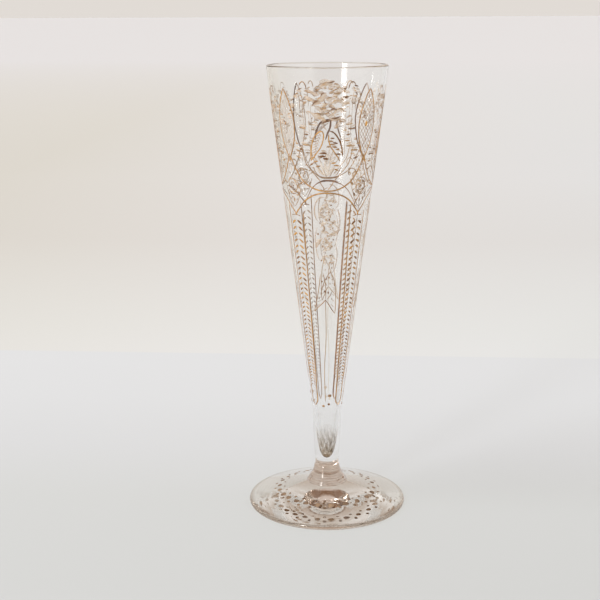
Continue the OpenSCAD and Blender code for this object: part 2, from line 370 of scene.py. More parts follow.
def dregs_outline():
    """A thin skin that follows the wall of the well, up from its bottom."""
    wall = [q for q in smooth(WELL)[::-1] if q[1] < DREGS_HIGH / MM]
    far, near = [], []
    for i, q in enumerate(wall):
        run = wall[min(i + 1, len(wall) - 1)] - wall[max(i - 1, 0)]
        away = np.array([run[1], -run[0]]) / math.hypot(*run) if i else np.array([0.0, -1.0])
        far.append(q + away * SKIN_FAR)
        near.append(q + away * SKIN_NEAR)
    return far + near[::-1]


def stem_outline():
    return [(0, JOINT_LOW[1])] + smooth(STEM_SIDE) + [(0, JOINT_HIGH[1])]


def foot_outline():
    shares = [i / 24 for i in range(24)] + [0.9985]
    hollow = [(STAND_R * s, HOLLOW * (1 - s * s)) for s in shares]
    edge = arc(FOOT_R - EDGE_ROUND, EDGE_ROUND, EDGE_ROUND, -math.pi / 2, math.pi / 2 - FOOT_LEAN)
    return (hollow + straight((STAND_R, 0), edge[0], 6) + edge[:-1]
            + straight(edge[-1], JOINT_LOW, 16) + [JOINT_LOW, (0, JOINT_LOW[1])])


def place(piece, slot, *nodes):
    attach(piece, "root")
    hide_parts(*nodes)


HIGH, LOW = JOINT_HIGH[1], JOINT_LOW[1]
place(lathe("bowl_blown", bowl_outline(), [bowl_glass, hot_joint], [HIGH]), "bowl_glass", "bowl")
place(lathe("stem_button", stem_outline(), [stem_glass, hot_joint], [HIGH, LOW]), "foot_glass", "stem")
place(lathe("foot_disc", foot_outline(), [foot_glass, hot_joint], [LOW]), "foot_glass", "foot")
place(lathe("dried_dregs", dregs_outline(), [dregs_material()]), "bowl_glass", "bowl")

# ======== stage

FLOOR_HALF, FLOOR_Z = 40.0, -0.00004
PLASTER_EDGE_Y = 0.243
# colour of the stage by distance behind the flute (metres): plaster up to the edge, canvas beyond it; the
# plaster gets lighter further back, a painted fall-off of the light over the floor
PLASTER = [(-0.9, (0.57, 0.588, 0.594)), (-0.09, (0.570, 0.588, 0.594)), (0.0, (0.594, 0.613, 0.62)),
           (0.065, (0.633, 0.650, 0.672)), (0.148, (0.671, 0.69, 0.715)), (0.22, (0.686, 0.705, 0.731)),
           (0.25, (0.686, 0.705, 0.731))]
CANVAS_TONE = [(0.25, (0.72, 0.725, 0.725)), (0.31, (0.715, 0.72, 0.714)), (0.65, (0.695, 0.682, 0.672)),
               (1.1, (0.728, 0.718, 0.716)), (2.0, (0.744, 0.735, 0.731)), (5.0, (0.765, 0.76, 0.777))]
# a cast over the canvas from left to right, which fades with distance
CANVAS_CAST = [(-0.5, (0.93, 0.92, 0.86)), (-0.1, (1, 1, 1)), (0.35, (0.985, 1.015, 1.04))]


def stage_material():
    m, t = new_material("plaster_and_canvas")
    turned = t.add("Mapping", {"Vector": t.add("TexCoord", out="Object"),
                               "Rotation": (0, 0, math.radians(2.5))})
    x, y, _ = t.xyz(turned)
    canvas = t.blend(t.span(y, 5.0, 1.2), t.ramp_over(y, CANVAS_TONE), t.ramp_over(x, CANVAS_CAST),
                     "MULTIPLY")
    beyond = t.span(y, PLASTER_EDGE_Y - MM, PLASTER_EDGE_Y + MM)
    # painted light: the plaster ramp paints in how the light falls off towards the camera
    colour = t.blend(beyond, t.ramp_over(y, PLASTER), canvas)
    t.show(t.add("BsdfPrincipled", {"Base Color": colour, "Roughness": 0.9}))
    return m


def floor():
    corners = [(x * FLOOR_HALF, y * FLOOR_HALF, FLOOR_Z) for x, y in ((-1, -1), (1, -1), (1, 1), (-1, 1))]
    mesh = bpy.data.meshes.new("floor")
    mesh.from_pydata(corners, [], [(0, 1, 2, 3)])
    mesh.materials.append(stage_material())
    add_object("floor", mesh)


# ======== light

SOFT_WHITE = (1, 0.99, 0.97)
LAMP_FAR, AIM = 1.3, Vector((0, 0, 0.1))
# degrees round from the camera's side, degrees up, width, height, power
LAMPS = {"window": (-34.7, 24.5, 0.18, 0.42, 3.8), "window_low": (-38.0, 12, 0.15, 0.16, 0.5),
         "window_sill": (-44.0, 7.1, 0.12, 0.09, 0.05), "window_edge": (-37.6, 24.5, 0.02, 0.42, 0.12)}
SUN_AT, SUN_STRENGTH, SUN_SPREAD = (-70, 42), 1.6, 32


def toward(azimuth, elevation):
    """The direction at these degrees round from the camera's side and up."""
    (back, right), (level, up) = cos_sin(azimuth), cos_sin(elevation)
    return Vector((right * level, -back * level, up))


def lamp(name, azimuth, elevation, width, height, power):
    data = bpy.data.lights.new(name, "AREA")
    data.shape = "RECTANGLE"
    data.size, data.size_y = width, height
    data.energy, data.color = power, SOFT_WHITE
    away = toward(azimuth, elevation)
    piece = add_object(name, data)
    piece.location = AIM + LAMP_FAR * away
    piece.rotation_euler = away.to_track_quat("Z", "Y").to_euler()


def sun(name):
    data = bpy.data.lights.new(name, "SUN")
    data.energy, data.angle, data.color = SUN_STRENGTH, math.radians(SUN_SPREAD), SOFT_WHITE
    piece = add_object(name, data)
    piece.rotation_euler = toward(*SUN_AT).to_track_quat("Z", "Y").to_euler()
    piece.visible_glossy = piece.visible_transmission = False


# colour of the surroundings by degrees round from the camera's side: left negative, right positive
CANVAS, DARK, WALL_RIGHT = (0.755, 0.71, 0.667), (0.24, 0.19, 0.15), (0.8, 0.78, 0.75)
WALLS = [(-180, CANVAS), (-110, CANVAS), (-80, (1.1, 1.08, 1.04)), (-46, (1.05, 1.03, 1.0)),
         (-38, (1.6, 1.57, 1.53)), (-34.5, (1.9, 1.87, 1.82)), (-30.5, (1.4, 1.36, 1.32)),
         (-27, (0.5, 0.45, 0.4)), (-23, DARK), (24, DARK), (34, WALL_RIGHT), (80, WALL_RIGHT),
         (110, CANVAS), (180, CANVAS)]
OVERHEAD = (0.86, 0.85, 0.84)
OVERHEAD_FROM, OVERHEAD_TO = 36, 46
# behind the stage it gets browner with height, up to the edge of the light overhead
BACKDROP = [(0, CANVAS), (14, CANVAS), (22, (0.60, 0.54, 0.48)), (31, (0.50, 0.41, 0.34)),
            (37, (0.32, 0.22, 0.16)), (50, (0.28, 0.18, 0.12)), (55, OVERHEAD)]


def world():
    w = bpy.data.worlds.new("studio")
    bpy.context.scene.world = w
    t = Shader(w)
    x, y, z = t.xyz(t.add("TexCoord", out="Generated"))
    azimuth = t.maths("ARCTAN2", x, t.maths("MULTIPLY", y, -1))
    share = t.maths("MULTIPLY_ADD", azimuth, 0.5 / math.pi, 0.5)
    walls = t.ramp(share, [(degrees / 360 + 0.5, colour) for degrees, colour in WALLS])
    climb = t.ramp(z, [(cos_sin(degrees)[1], colour) for degrees, colour in BACKDROP])
    over = t.span(z, cos_sin(OVERHEAD_FROM)[1], cos_sin(OVERHEAD_TO)[1])
    around = t.blend(t.span(y, 0.0, 0.3), t.blend(over, walls, (*OVERHEAD, 1)), climb)
    t.add("OutputWorld", {"Surface": t.add("Background", {"Color": around})})


floor()
world()
for lamp_name, lamp_values in LAMPS.items():
    lamp(lamp_name, *lamp_values)
sun("key")

# ======== render settings

scene = bpy.context.scene
scene.view_settings.view_transform = "Standard"
scene.cycles.max_bounces = 24
scene.cycles.glossy_bounces = 16
scene.cycles.transmission_bounces = 20
scene.cycles.transparent_max_bounces = 16
scene.cycles.caustics_reflective = False
scene.cycles.caustics_refractive = False

# ======== paint on the glass, in mm

EMBED = 0.015  # the paint reaches this far into the glass, so that no gap shows
# cross sections of a stroke: place across it and height there, as shares, down to the glass at both edges
NARROW = ((-1, 0), (-0.6, 0.8), (0, 1), (0.6, 0.8), (1, 0))
BROAD = ((-1, 0), (-0.82, 0.72), (-0.42, 0.95), (0, 1), (0.42, 0.95), (0.82, 0.72), (1, 0))
BROAD_FROM = 0.95
DAB_RINGS = ((0.45, 0.96), (0.8, 0.72), (0.95, 0.3), (1, 0))  # radius and height of each, as shares
ROUND_DAB_FROM = 0.9
TIP = np.array((0, 0.15, 0.5, 1))  # rings that round off the end of a stroke
PATH_STEPS, WAVER, RIPPLE = 6, 0.05, 0.12
LEAN_COS = math.cos(math.atan(CONE_SLOPE))
LEAN_SIN = math.sin(math.atan(CONE_SLOPE))
FOOT_COS = math.cos(math.atan(FOOT_SLOPE))
FOOT_SIN = math.sin(math.atan(FOOT_SLOPE))


def on_bowl(a, z, h):
    """A point h mm off the cone, at angle a in degrees round from the front and height z."""
    (back, right), r = cos_sin(a), cone_r(z) + h * LEAN_COS
    return (r * right * MM, -r * back * MM, (z - h * LEAN_SIN) * MM)


def on_foot(a, r, h):
    """A point h mm off the top of the foot, at angle a and radius r."""
    (back, right), out = cos_sin(a), r + h * FOOT_SIN
    return (out * right * MM, -out * back * MM, (foot_top_z(r) + h * FOOT_COS) * MM)


def bowl_scale(z):
    """Millimetres for each degree round the bowl, and along its wall for each millimetre of height."""
    return math.radians(cone_r(z)), 1 / LEAN_COS


def foot_scale(r):
    """The same on top of the foot, for each degree and each millimetre of radius."""
    return math.radians(r), 1 / FOOT_COS


# material slots: gold and enamel, their undersides, and a pale underside that is painted light, put in place
# of the dark one
GOLD, BACK, PALE, PALE_BACK, PAINTED_LIT_BACK = 0, 1, 2, 3, 4
# corners of a face between two rows, as row and step along it
OUTSIDE, INSIDE = ((0, 0), (1, 0), (1, 1), (0, 1)), ((0, 0), (0, 1), (1, 1), (1, 0))


class Paint:
    """Raised brush strokes and dabs on the outside of the glass, gathered into one mesh."""

    def __init__(self, point=on_bowl, scale=bowl_scale):
        self.point, self.scale = point, scale
        self.verts, self.faces, self.slots, self.tones, self.rims = [], [], [], [], []
        self.turn, self.lift, self.stretch = 0.0, 0.0, (1.0, 1.0)  # the two sides stretch apart
        self.lit_back_past = 360  # strokes further round than this get the pale underside, painted light in place of the dark one

    def underside(self, a, slot):
        # painted light: far round, an underside is painted pale instead of dark
        far = abs((a + self.turn + 180) % 360 - 180)
        return PALE_BACK if slot == PALE else PAINTED_LIT_BACK if far > self.lit_back_past else BACK

    def put(self, a, v, h, tone, rim):
        """Adds a vertex at angle a, height or radius v and h mm off the glass."""
        self.verts.append(self.point(a + self.turn, v + self.lift, h))
        self.tones.append(tone)
        self.rims.append(rim)
        return len(self.verts) - 1

    def face(self, slot, *corners):
        self.faces.append(corners)
        self.slots.append(slot)

    def skin(self, slot, rows, order):
        """Faces between two rows of vertices, where a row of one is a tip."""
        for k in range(max(len(row) for row in rows) - 1):
            corners = [rows[r][min(k + step, len(rows[r]) - 1)] for r, step in order]
            self.face(slot, *dict.fromkeys(corners))

    def stroke(self, path, width, height=0.07, tone=0.5, slot=GOLD, taper=0.1, curve=True,
               step=0.5, under=None):
        """A domed ribbon along the path that thins to a point over taper of its length."""
        pts = np.array(smooth(path, PATH_STEPS) if curve and len(path) > 2 else path, float)
        pts[:, 0] *= np.where(pts[:, 0] < 0, *self.stretch)
        across, up = np.array([self.scale(v) for v in pts[:, 1]]).T
        run = np.hypot(np.diff(pts[:, 0]) * (across[1:] + across[:-1]) / 2, np.diff(pts[:, 1]) * up[1:])
        s = np.concatenate([[0], np.cumsum(run)])
        total = s[-1]
        under = self.underside(pts[len(pts) // 2, 0], slot) if under is None else under
        count = max(3, math.ceil(total / step))
        cap = min(0.45 * width, 0.2 * total)
        t = np.linspace(0, total, count + 1)[1:-1]
        t = t[(t > cap * 1.2) & (t < total - cap * 1.2)]
        t = np.concatenate([TIP * cap, t, total - TIP[::-1] * cap])
        a, v = np.interp(t, s, pts[:, 0]), np.interp(t, s, pts[:, 1])
        across = np.array([self.scale(q)[0] for q in v])
        da, dv = np.gradient(a, t) * across, np.gradient(v, t) * up[0]
        size = np.hypot(da, dv) + 1e-9
        side_a, side_v = -dv / size / across, da / size / up[0]
        reach = max(cap, taper * total)
        phase = rng.uniform(0, 6.28)
        wide = width > BROAD_FROM
        last = len(t) - 1
        tops = bases = [self.put(a[0], v[0], -EMBED, tone, 1)]
        for i in range(1, last):
            ends = min(1, t[i] / reach, (total - t[i]) / reach)
            w = 0.5 * width * math.sqrt(max(ends, 0.02)) * (1 + WAVER * math.sin(2.1 * t[i] + phase))
            h = height * (0.35 + 0.65 * math.sqrt(ends)) * (1 + RIPPLE * math.sin(1.3 * t[i] + 2 * phase))
            row = []
            for o, dome in BROAD if wide else NARROW:
                off = o * w
                row.append(self.put(a[i] + side_a[i] * off, v[i] + side_v[i] * off,
                                    dome * h if dome else -EMBED, tone, abs(o)))
            base = [row[0], row[-1]]
            if wide:
                base.insert(1, self.put(a[i], v[i], -EMBED, tone, 0))
            self.skin(slot, (tops, row), OUTSIDE)
            self.skin(under, (bases, base), INSIDE)
            tops, bases = row, base
        end = [self.put(a[last], v[last], -EMBED, tone, 1)]
        self.skin(slot, (tops, end), OUTSIDE)
        self.skin(under, (bases, end), INSIDE)

    def strokes(self, rows, side=1):
        """Strokes from rows of path, width, height, tone, taper and, unless gold, slot.

        With side -1 they are mirrored.
        """
        for path, width, height, tone, taper, *slot in rows:
            path = [(side * a, v) for a, v in path]
            self.stroke(path, width, height, tone, *(slot or [GOLD]), taper)

    def petal(self, a, v, long, wide, lean=0.0, height=0.1, tone=0.5, slot=GOLD, bend=0.0):
        """A pointed stroke about the point (a, v), leaning by an angle in the surface."""
        across, up = self.scale(v)
        across *= self.stretch[a > 0]
        ca, sa = cos_sin(lean)
        path = []
        for q in (-0.5, -0.25, 0, 0.25, 0.5):
            x, y = q * long, bend * long * (0.25 - q * q) * 4
            path.append((a + (x * ca - y * sa) / across, v + (x * sa + y * ca) / up))
        self.stroke(path, wide, height, tone, slot, taper=0.5, step=0.4)

    def dab(self, a, v, d, height=0.1, tone=0.5, slot=GOLD, long=1.0, lean=0.0, rough=0.06, under=None):
        """A round dome, slightly uneven as a touch of the brush leaves it."""
        across, up = self.scale(v)
        a *= self.stretch[a > 0]
        sides = 16 if d > ROUND_DAB_FROM else 10
        under = self.underside(a, slot) if under is None else under
        wave, phase = rng.choice((2, 3)), rng.uniform(0, 6.28)
        ca, sa = cos_sin(lean)
        top = self.put(a, v, height, tone, 0)
        floor_at = self.put(a, v, -EMBED, tone, 0)
        rings = []
        for size, dome in DAB_RINGS:
            row = []
            for k in range(sides):
                q = 2 * math.pi * k / sides
                r = 0.5 * d * size * (1 + rough * math.cos(wave * q + phase))
                x, y = r * long * math.cos(q), r * math.sin(q)
                row.append(self.put(a + (x * ca - y * sa) / across, v + (x * sa + y * ca) / up,
                                    dome * height if dome else -EMBED, tone, size))
            rings.append(row)
        for k in range(sides):
            n = (k + 1) % sides
            self.face(slot, top, rings[0][k], rings[0][n])
            for low, high in zip(rings[1:], rings[:-1]):
                self.face(slot, high[k], low[k], low[n], high[n])
            self.face(under, floor_at, rings[-1][n], rings[-1][k])

    def piece(self, node, slot, materials):
        name = node.removesuffix("_petals") + "_painted"
        mesh = bpy.data.meshes.new(name)
        mesh.from_pydata(self.verts, [], self.faces)
        mesh.polygons.foreach_set("material_index", self.slots)
        mesh.polygons.foreach_set("use_smooth", [s in (GOLD, PALE) for s in self.slots])
        for label, values in (("tone", self.tones), ("rim", self.rims)):
            layer = mesh.attributes.new(label, "FLOAT", "POINT")
            layer.data.foreach_set("value", values)
        for m in materials:
            mesh.materials.append(m)
        mesh.update()
        place(add_object(name, mesh), slot, node)


def paint_material(name, tones, metal, rough, cover=None, shine=0.5):
    """Brushed paint: tones are its worn and shaded, middling and bright colours, cover thins it in places."""
    m, t = new_material(name)
    where = t.add("TexCoord", out="Object")
    coarse, fine = t.noise(where, 420, 4), t.noise(where, 2600, 3)
    tone = t.add("Attribute", out="Fac", attribute_name="tone")
    rim = t.add("Attribute", out="Fac", attribute_name="rim")
    share = t.maths("ADD", t.maths("MULTIPLY_ADD", coarse, 1.1, -0.55), tone)
    # darker towards the rim of each stroke and dab: partly worn-thin paint, partly painted shade that leaves
    # the ridge lighter
    worn = t.maths("MULTIPLY_ADD", rim, -0.22, share)
    body = t.add("BsdfPrincipled", {
        "Base Color": t.ramp(worn, list(zip((0.05, 0.45, 0.9), tones))),
        "Roughness": t.span(fine, 0.0, 1.0, *rough), "Normal": t.bump(fine, 0.35, 0.00004),
        "Metallic": metal, "Specular IOR Level": shine})
    if cover:
        body = t.either(t.span(coarse, 0.0, 1.0, *cover), t.add("BsdfTransparent"), body)
    t.show(body)
    return m


def underside(name, tones, cover=None):
    """The back of a layer, seen through the glass: no metal and no shine."""
    return paint_material(name, tones, 0.0, MATT, cover, shine=0.0)


BRIGHT, SATIN, MATT = (0.3, 0.55), (0.4, 0.65), (0.5, 0.7)
fired_gold = paint_material(
    "fired_gold", [(0.26, 0.125, 0.052), (0.52, 0.29, 0.13), (0.86, 0.46, 0.12)], 0.8, BRIGHT)
worn_gold = paint_material(
    "worn_gold", [(0.24, 0.13, 0.07), (0.50, 0.31, 0.17), (0.70, 0.47, 0.27)], 0.5, SATIN)
dot_gold = paint_material(
    "dot_gold", [(0.19, 0.12, 0.075), (0.36, 0.24, 0.155), (0.52, 0.37, 0.25)], 0.35, SATIN)
hatch = paint_material(
    "worn_hatch", [(0.34, 0.20, 0.12), (0.52, 0.36, 0.22), (0.70, 0.50, 0.32)], 0.4, SATIN)
enamel = paint_material(
    "matt_enamel", [(0.55, 0.38, 0.25), (0.70, 0.54, 0.40), (0.80, 0.69, 0.57)], 0.0, MATT, (0.1, 0.85))
line_back = underside("line_back", [(0.15, 0.07, 0.035), (0.36, 0.185, 0.08), (0.56, 0.33, 0.15)])
soft_back = underside("soft_back", [(0.38, 0.24, 0.13), (0.56, 0.40, 0.26), (0.68, 0.54, 0.40)])
leaf_back = underside("leaf_back", [(0.26, 0.14, 0.065), (0.44, 0.27, 0.14), (0.60, 0.43, 0.27)])
hatch_back = underside("hatch_back", [(0.58, 0.46, 0.35), (0.66, 0.56, 0.46), (0.74, 0.66, 0.58)])
enamel_back = underside("enamel_back", [(0.56, 0.42, 0.30), (0.68, 0.56, 0.45), (0.78, 0.69, 0.60)],
                        (0.0, 0.45))
dot_back = underside("dot_back", [(0.19, 0.10, 0.055), (0.31, 0.18, 0.10), (0.46, 0.30, 0.19)])
# painted light: pale undersides, for the bowl and for the foot dots, put where the dark ones would show
painted_lit_back = underside("painted_lit_back", [(0.68, 0.59, 0.50), (0.76, 0.68, 0.60), (0.82, 0.76, 0.70)])
foot_painted_lit_back = underside("foot_painted_lit_back", [(0.56, 0.42, 0.33), (0.66, 0.53, 0.44), (0.74, 0.63, 0.55)])


# the last material, worn, is the pale underside that is painted light
def palette(top, back, worn=painted_lit_back):
    """The materials of a layer, in the order GOLD, BACK, PALE, PALE_BACK, PAINTED_LIT_BACK."""
    return [top, back, enamel, enamel_back, worn]


LINE = palette(fired_gold, line_back)
SOFT = palette(worn_gold, soft_back)
HATCH = palette(hatch, hatch_back)
LEAF = palette(fired_gold, leaf_back)
BUD = palette(fired_gold, soft_back)
DOTS = palette(dot_gold, dot_back, foot_painted_lit_back)

PANELS = 4
PANEL_HALF = 360 / PANELS / 2
FRONT, BEHIND = 0, 2  # panels are counted round to the right from the front
REAR_GAPS, FRONT_LEFT_GAP = (1, 2), 3  # and gap k is to the right of panel k
# the panels were set out by eye: where the lancets between them stand, and how wide each one is
LANCET_AT = [45.6, 133.2, 214.8, 312.6]
LANCET_WIDTH = [1.0, 1.08, 0.72, 1.0]
BAND_AT = [45.6, 136.0, 214.6, 312.6]
BAND_WIDTH = [1.0, 1.0, 0.72, 1.0]
PANEL_AT = [0.0, 90.0, 180.0, 263.6]
SIDE_LIT_BACK_PAST = 97  # on the side panels, strokes further round than this get the pale underside, painted light in place of the dark one


def panels(paint, worn=False):
    """Each panel in turn, the front one first, stretched to fill the gap between two lancets."""
    for k in range(PANELS):
        right, left = LANCET_AT[k], LANCET_AT[k - 1] - (360 if k == 0 else 0)
        paint.turn = PANEL_AT[k]
        sides = (paint.turn - left) / PANEL_HALF, (right - paint.turn) / PANEL_HALF
        paint.stretch = sides if k else (1.0, 1.0)
        paint.lift = jog(0.35) if k else 0.0
        # with worn set, the far parts of the side panels get the pale underside that is painted light
        paint.lit_back_past = SIDE_LIT_BACK_PAST if worn and k % 2 else 360
        yield k


def between(paint, at=LANCET_AT, width=None):
    """Each place between two panels in turn, the front right one first."""
    for k in range(PANELS):
        paint.turn = at[k]
        paint.stretch = (width[k],) * 2 if width else (1.0, 1.0)
        paint.lift = 0.0
        yield k


# ---- lancets

# places on the bowl are (degrees round from the middle of the panel or gap, height)
LANCET_LOW, LANCET_HIGH, LANCET_HALF = 161.6, 191.0, 11.0
LATTICE_LEAN = math.tan(math.radians(54))
LATTICE_STEPS = [-LANCET_HALF + 0.5 * i for i in range(45)]
SPECK_HEIGHTS = (170.2, 172.1, 181.2, 183.4, 186.0)


def lancet_half(z):
    s = min(1, max(0, (z - LANCET_LOW) / (LANCET_HIGH - LANCET_LOW)))
    return LANCET_HALF * math.sin(math.pi * s ** 0.92) ** 0.85


def lancet_outlines(p):
    for k in between(p, width=LANCET_WIDTH):
        for side in (-1, 1):
            path = [(side * (lancet_half(z) + jog(0.25)), z)
                    for z in np.linspace(LANCET_LOW, LANCET_HIGH, 15)]
            width, tone = 0.62, 0.62
            if k in REAR_GAPS:
                width, tone = (0.72, 0.0) if side > 0 else (0.36, 0.62)
            p.stroke([(side * -1.4, LANCET_LOW - 1.6)] + path, width, 0.09, tone + jog(0.1), taper=0.03)


def lancet_lattice(p):
    across = math.radians(cone_r(175))
    for k in between(p, width=LANCET_WIDTH):
        pitch, width, tone = (2.5, 0.2, 0.2) if k == FRONT else (2.0, 0.1, 0.9)
        # painted light: the lattice in the gaps behind gets the pale underside
        under = PAINTED_LIT_BACK if k in REAR_GAPS else BACK
        for side in (-1, 1):
            z = LANCET_LOW - 16
            while z < LANCET_HIGH + 16:
                z += pitch * (1 + jog(0.18))
                line = [(x, z + side * LATTICE_LEAN * (across * x)) for x in LATTICE_STEPS]
                line = [(x, v) for x, v in line
                        if LANCET_LOW + 1 < v < LANCET_HIGH - 1 and abs(x) < lancet_half(v) - 0.9]
                if len(line) > 2:
                    p.stroke(line[::3] + line[-1:], width, 0.03, tone + jog(0.15), taper=0.05,
                             curve=False, step=0.9, under=under)


def lancet_beads(p):
    for k in between(p):
        size, tone, long = (1.15, 1.4, 2.0) if k == FRONT else (0.9, 0.6, 1.4)
        p.dab(-1.3, 176.2, size, 0.32, tone, long=long, lean=88)
        p.dab(-1.9, 178.6, 0.5, 0.12, 0.2)
        p.dab(-1.2, 174.3, 0.6, 0.12, 0.4)
        for z in SPECK_HEIGHTS:
            # painted light: the specks get the pale underside
            p.dab(jog(1.4), z + jog(0.4), 0.3 + jog(0.06), 0.06, 0.6, under=PAINTED_LIT_BACK)


# ---- swags and arches

SWAG = [(-46.5, 163), (-42, 158.8), (-38, 156), (-30, 152), (-20, 149.6), (-10, 148.3), (0, 148.0),
        (10, 148.3), (20, 149.6), (30, 152.2), (38, 156.2), (42, 159.2), (46.5, 163.4)]
ARCH = [(-46.3, 136.6), (-45, 137.8), (-38, 140.4), (-30, 143.3), (-20, 145.6), (-10, 146.8), (0, 147.1),
        (10, 146.8), (20, 145.7), (30, 143.5), (38, 140.6), (45, 138), (46.3, 136.8)]
SWAG_STEMS = [([(8.5, 152.5), (4.5, 150.2), (1, 148.5)], 0.3, 0.05, 0.5, 0.1),
              ([(-9, 152), (-6, 150.2), (-3, 148.5)], 0.3, 0.05, 0.5, 0.1)]
CROWN = slice(4, 9)  # the middle of a swag or arch, heavier on the panel behind


def swags(p):
    for k in panels(p):
        path = SWAG if k == FRONT else [(a * PANEL_HALF / SWAG[-1][0], z) for a, z in SWAG]
        p.stroke(path, 0.4 if k == BEHIND else 0.62, 0.09, 0.6, taper=0.03)
        if k == BEHIND:
            p.stroke(SWAG[CROWN], 0.8, 0.1, 0.0, taper=0.25)
        p.strokes(SWAG_STEMS)


def arcade_arches(p):
    for k in panels(p):
        p.stroke(ARCH, 0.42 if k == BEHIND else 0.62, 0.09, 0.6, taper=0.02)
        if k == BEHIND:
            p.stroke(ARCH[CROWN], 0.85, 0.1, 0.0, taper=0.25)


# ---- bands

BAND_TOP, BAND_LOW, BAND_HALF = 141.6, 50.6, 13.2
LEAF_LOW, LEAF_HIGH, LEAF_ROWS = 58.5, 134.2, 39


def band_borders(p):
    for k in between(p, BAND_AT, BAND_WIDTH):
        for side in (-1, 1):
            drift, top = jog(0.7), BAND_TOP if side < 0 else BAND_TOP - 3
            path = [(side * (BAND_HALF + drift * math.sin(z / 13) - (0.8 if z < 60 else 0)), z)
                    for z in np.linspace(top, BAND_LOW, 16)]
            path += [(side * 7, BAND_LOW - 1.6), (side * 0.5, BAND_LOW - 2.9)]
            width = 0.6 if side == (-1 if k == FRONT else 1) else 0.5
            width, tone = (1.0 if side > 0 else width, 0.42) if k == REAR_GAPS[0] else (width, 0.6)
            p.stroke(path, width, 0.09, tone, taper=0.02)
        p.stroke([(-9, 136.5), (0, 136.9), (9, 136.4)], 0.35, 0.06, 0.45)


def band_leaves(p):
    """Chevrons that grow with the cone, thinner in the lowest rows."""
    ratio = (cone_r(LEAF_HIGH) / cone_r(LEAF_LOW)) ** (1 / (LEAF_ROWS - 1))
    for k in between(p, BAND_AT, BAND_WIDTH):
        middling = 0.62 if k == FRONT_LEFT_GAP else 0.5
        for i in range(LEAF_ROWS):
            r = cone_r(LEAF_LOW) * ratio ** i
            z = TAIL_TOP[1] + (r - TAIL_TOP[0]) / CONE_SLOPE
            drop = 0.062 * r + 0.42
            fade = 1 if i > 4 else 0.55 + 0.1 * i
            if k == REAR_GAPS[1]:
                fade *= 0.62
            for side in (-1, 1):
                a0, a1 = side * (1.8 + jog(0.6)), side * (BAND_HALF - 3.2 + jog(0.6))
                low = z + jog(0.15)
                path = [(a0, low), (a0 + 0.48 * (a1 - a0), low - 0.38 * drop), (a1, low - drop)]
                p.stroke(path, (0.042 * r + 0.20) * fade, 0.08, middling + jog(0.3), taper=0.32, step=0.4)


# ---- spandrel roses

ROSE_Z, ROSE_ACROSS = 149.6, 0.37
# curls of the rose: radius, first and last angle, width, tone
ROSE_CURLS = [(3.7, 205, 320, .45, .35), (3.5, 30, 150, .42, .5), (2.7, -50, 60, .42, .3),
              (2.6, 120, 235, .45, .55), (1.8, 190, 330, .38, .3), (1.6, 20, 150, .38, .5),
              (0.9, 60, 300, .33, .25)]
SPANDREL_CURLS = [
    ([(8, 154.6), (12, 157.0), (17, 157.6), (20, 156.3), (19, 154.7), (16.3, 155.2)], 0.38, 0.07, 0.45, 0.15),
    ([(4.5, 156.5), (8, 158.8), (11, 158.6)], 0.33, 0.06, 0.4, 0.2)]
# petals beside the rose: angle, height, length, width, lean, tone, slot, bend
SPANDREL_PETALS = [(14.5, 150.9, 2.2, 0.9, 30, 0.5, GOLD, 0.1), (15.5, 153.0, 1.9, 0.8, -20, 0.7, PALE, 0.0),
                   (9.5, 146.2, 2.3, 0.8, 48, 0.4, GOLD, 0.0)]
SPANDREL_STEM = [([(13, 148.6), (9, 144.6), (4, 141.8), (0, 140.6)], 0.33, 0.06, 0.45, 0.1)]
SPANDREL_DOTS = [(5.5, 143.8, 0.6, 0.3), (2.0, 158.9, 0.6, 0.4), (6.2, 160.9, 0.5, 0.3)]


def spandrel_roses(p):
    for _ in between(p):
        for size, start, end, width, tone in ROSE_CURLS:
            path = []
            for q in np.linspace(start + jog(25), end + jog(25), 6):
                q, far = math.radians(q + jog(6)), size * (1 + jog(0.1))
                path.append((far * math.cos(q) / bowl_scale(ROSE_Z)[0], ROSE_Z + far * 0.95 * math.sin(q)))
            p.stroke(path, width, 0.07, tone + jog(0.15), taper=0.35)
        p.dab(0.5, ROSE_Z, 0.9, 0.12, 0.3)
        for q in range(12):
            turn = math.radians(30 * q + jog(12))
            far = 3.1 + jog(0.7)
            p.petal(far * math.cos(turn) / ROSE_ACROSS, ROSE_Z + far * math.sin(turn), 1.9, 0.85,
                    math.degrees(turn) + 90 + jog(25), 0.08, 0.6 + jog(0.3), PALE if q % 2 else GOLD, 0.12)
        for q in range(16):
            z = 157.5 - 0.95 * q + jog(0.5)
            wide = 13.5 if q < 6 else 11.0
            p.petal(jog(wide), z, 1.1 + 0.9 * rng.random(), 0.42 + 0.25 * rng.random(), jog(60), 0.07,
                    0.3 + 0.6 * rng.random(), PALE if q % 4 == 0 else GOLD, jog(0.15))
        for side in (-1, 1):
            p.strokes(SPANDREL_CURLS, side)
            for a, z, long, wide, lean, *brush in SPANDREL_PETALS:
                p.petal(side * a, z, long, wide, side * lean, 0.08, *brush)
            p.strokes(SPANDREL_STEM, side)
            for a, z, d, tone in SPANDREL_DOTS:
                p.dab(side * a, z, d, 0.08, tone)
        p.petal(0, 156.9, 2.4, 1.0, 90, 0.08, 0.6, PALE)
        p.petal(0, 143.4, 2.0, 0.8, 90, 0.08, 0.35)


# ---- bouquet at the top of each panel: angle, height, length of each petal

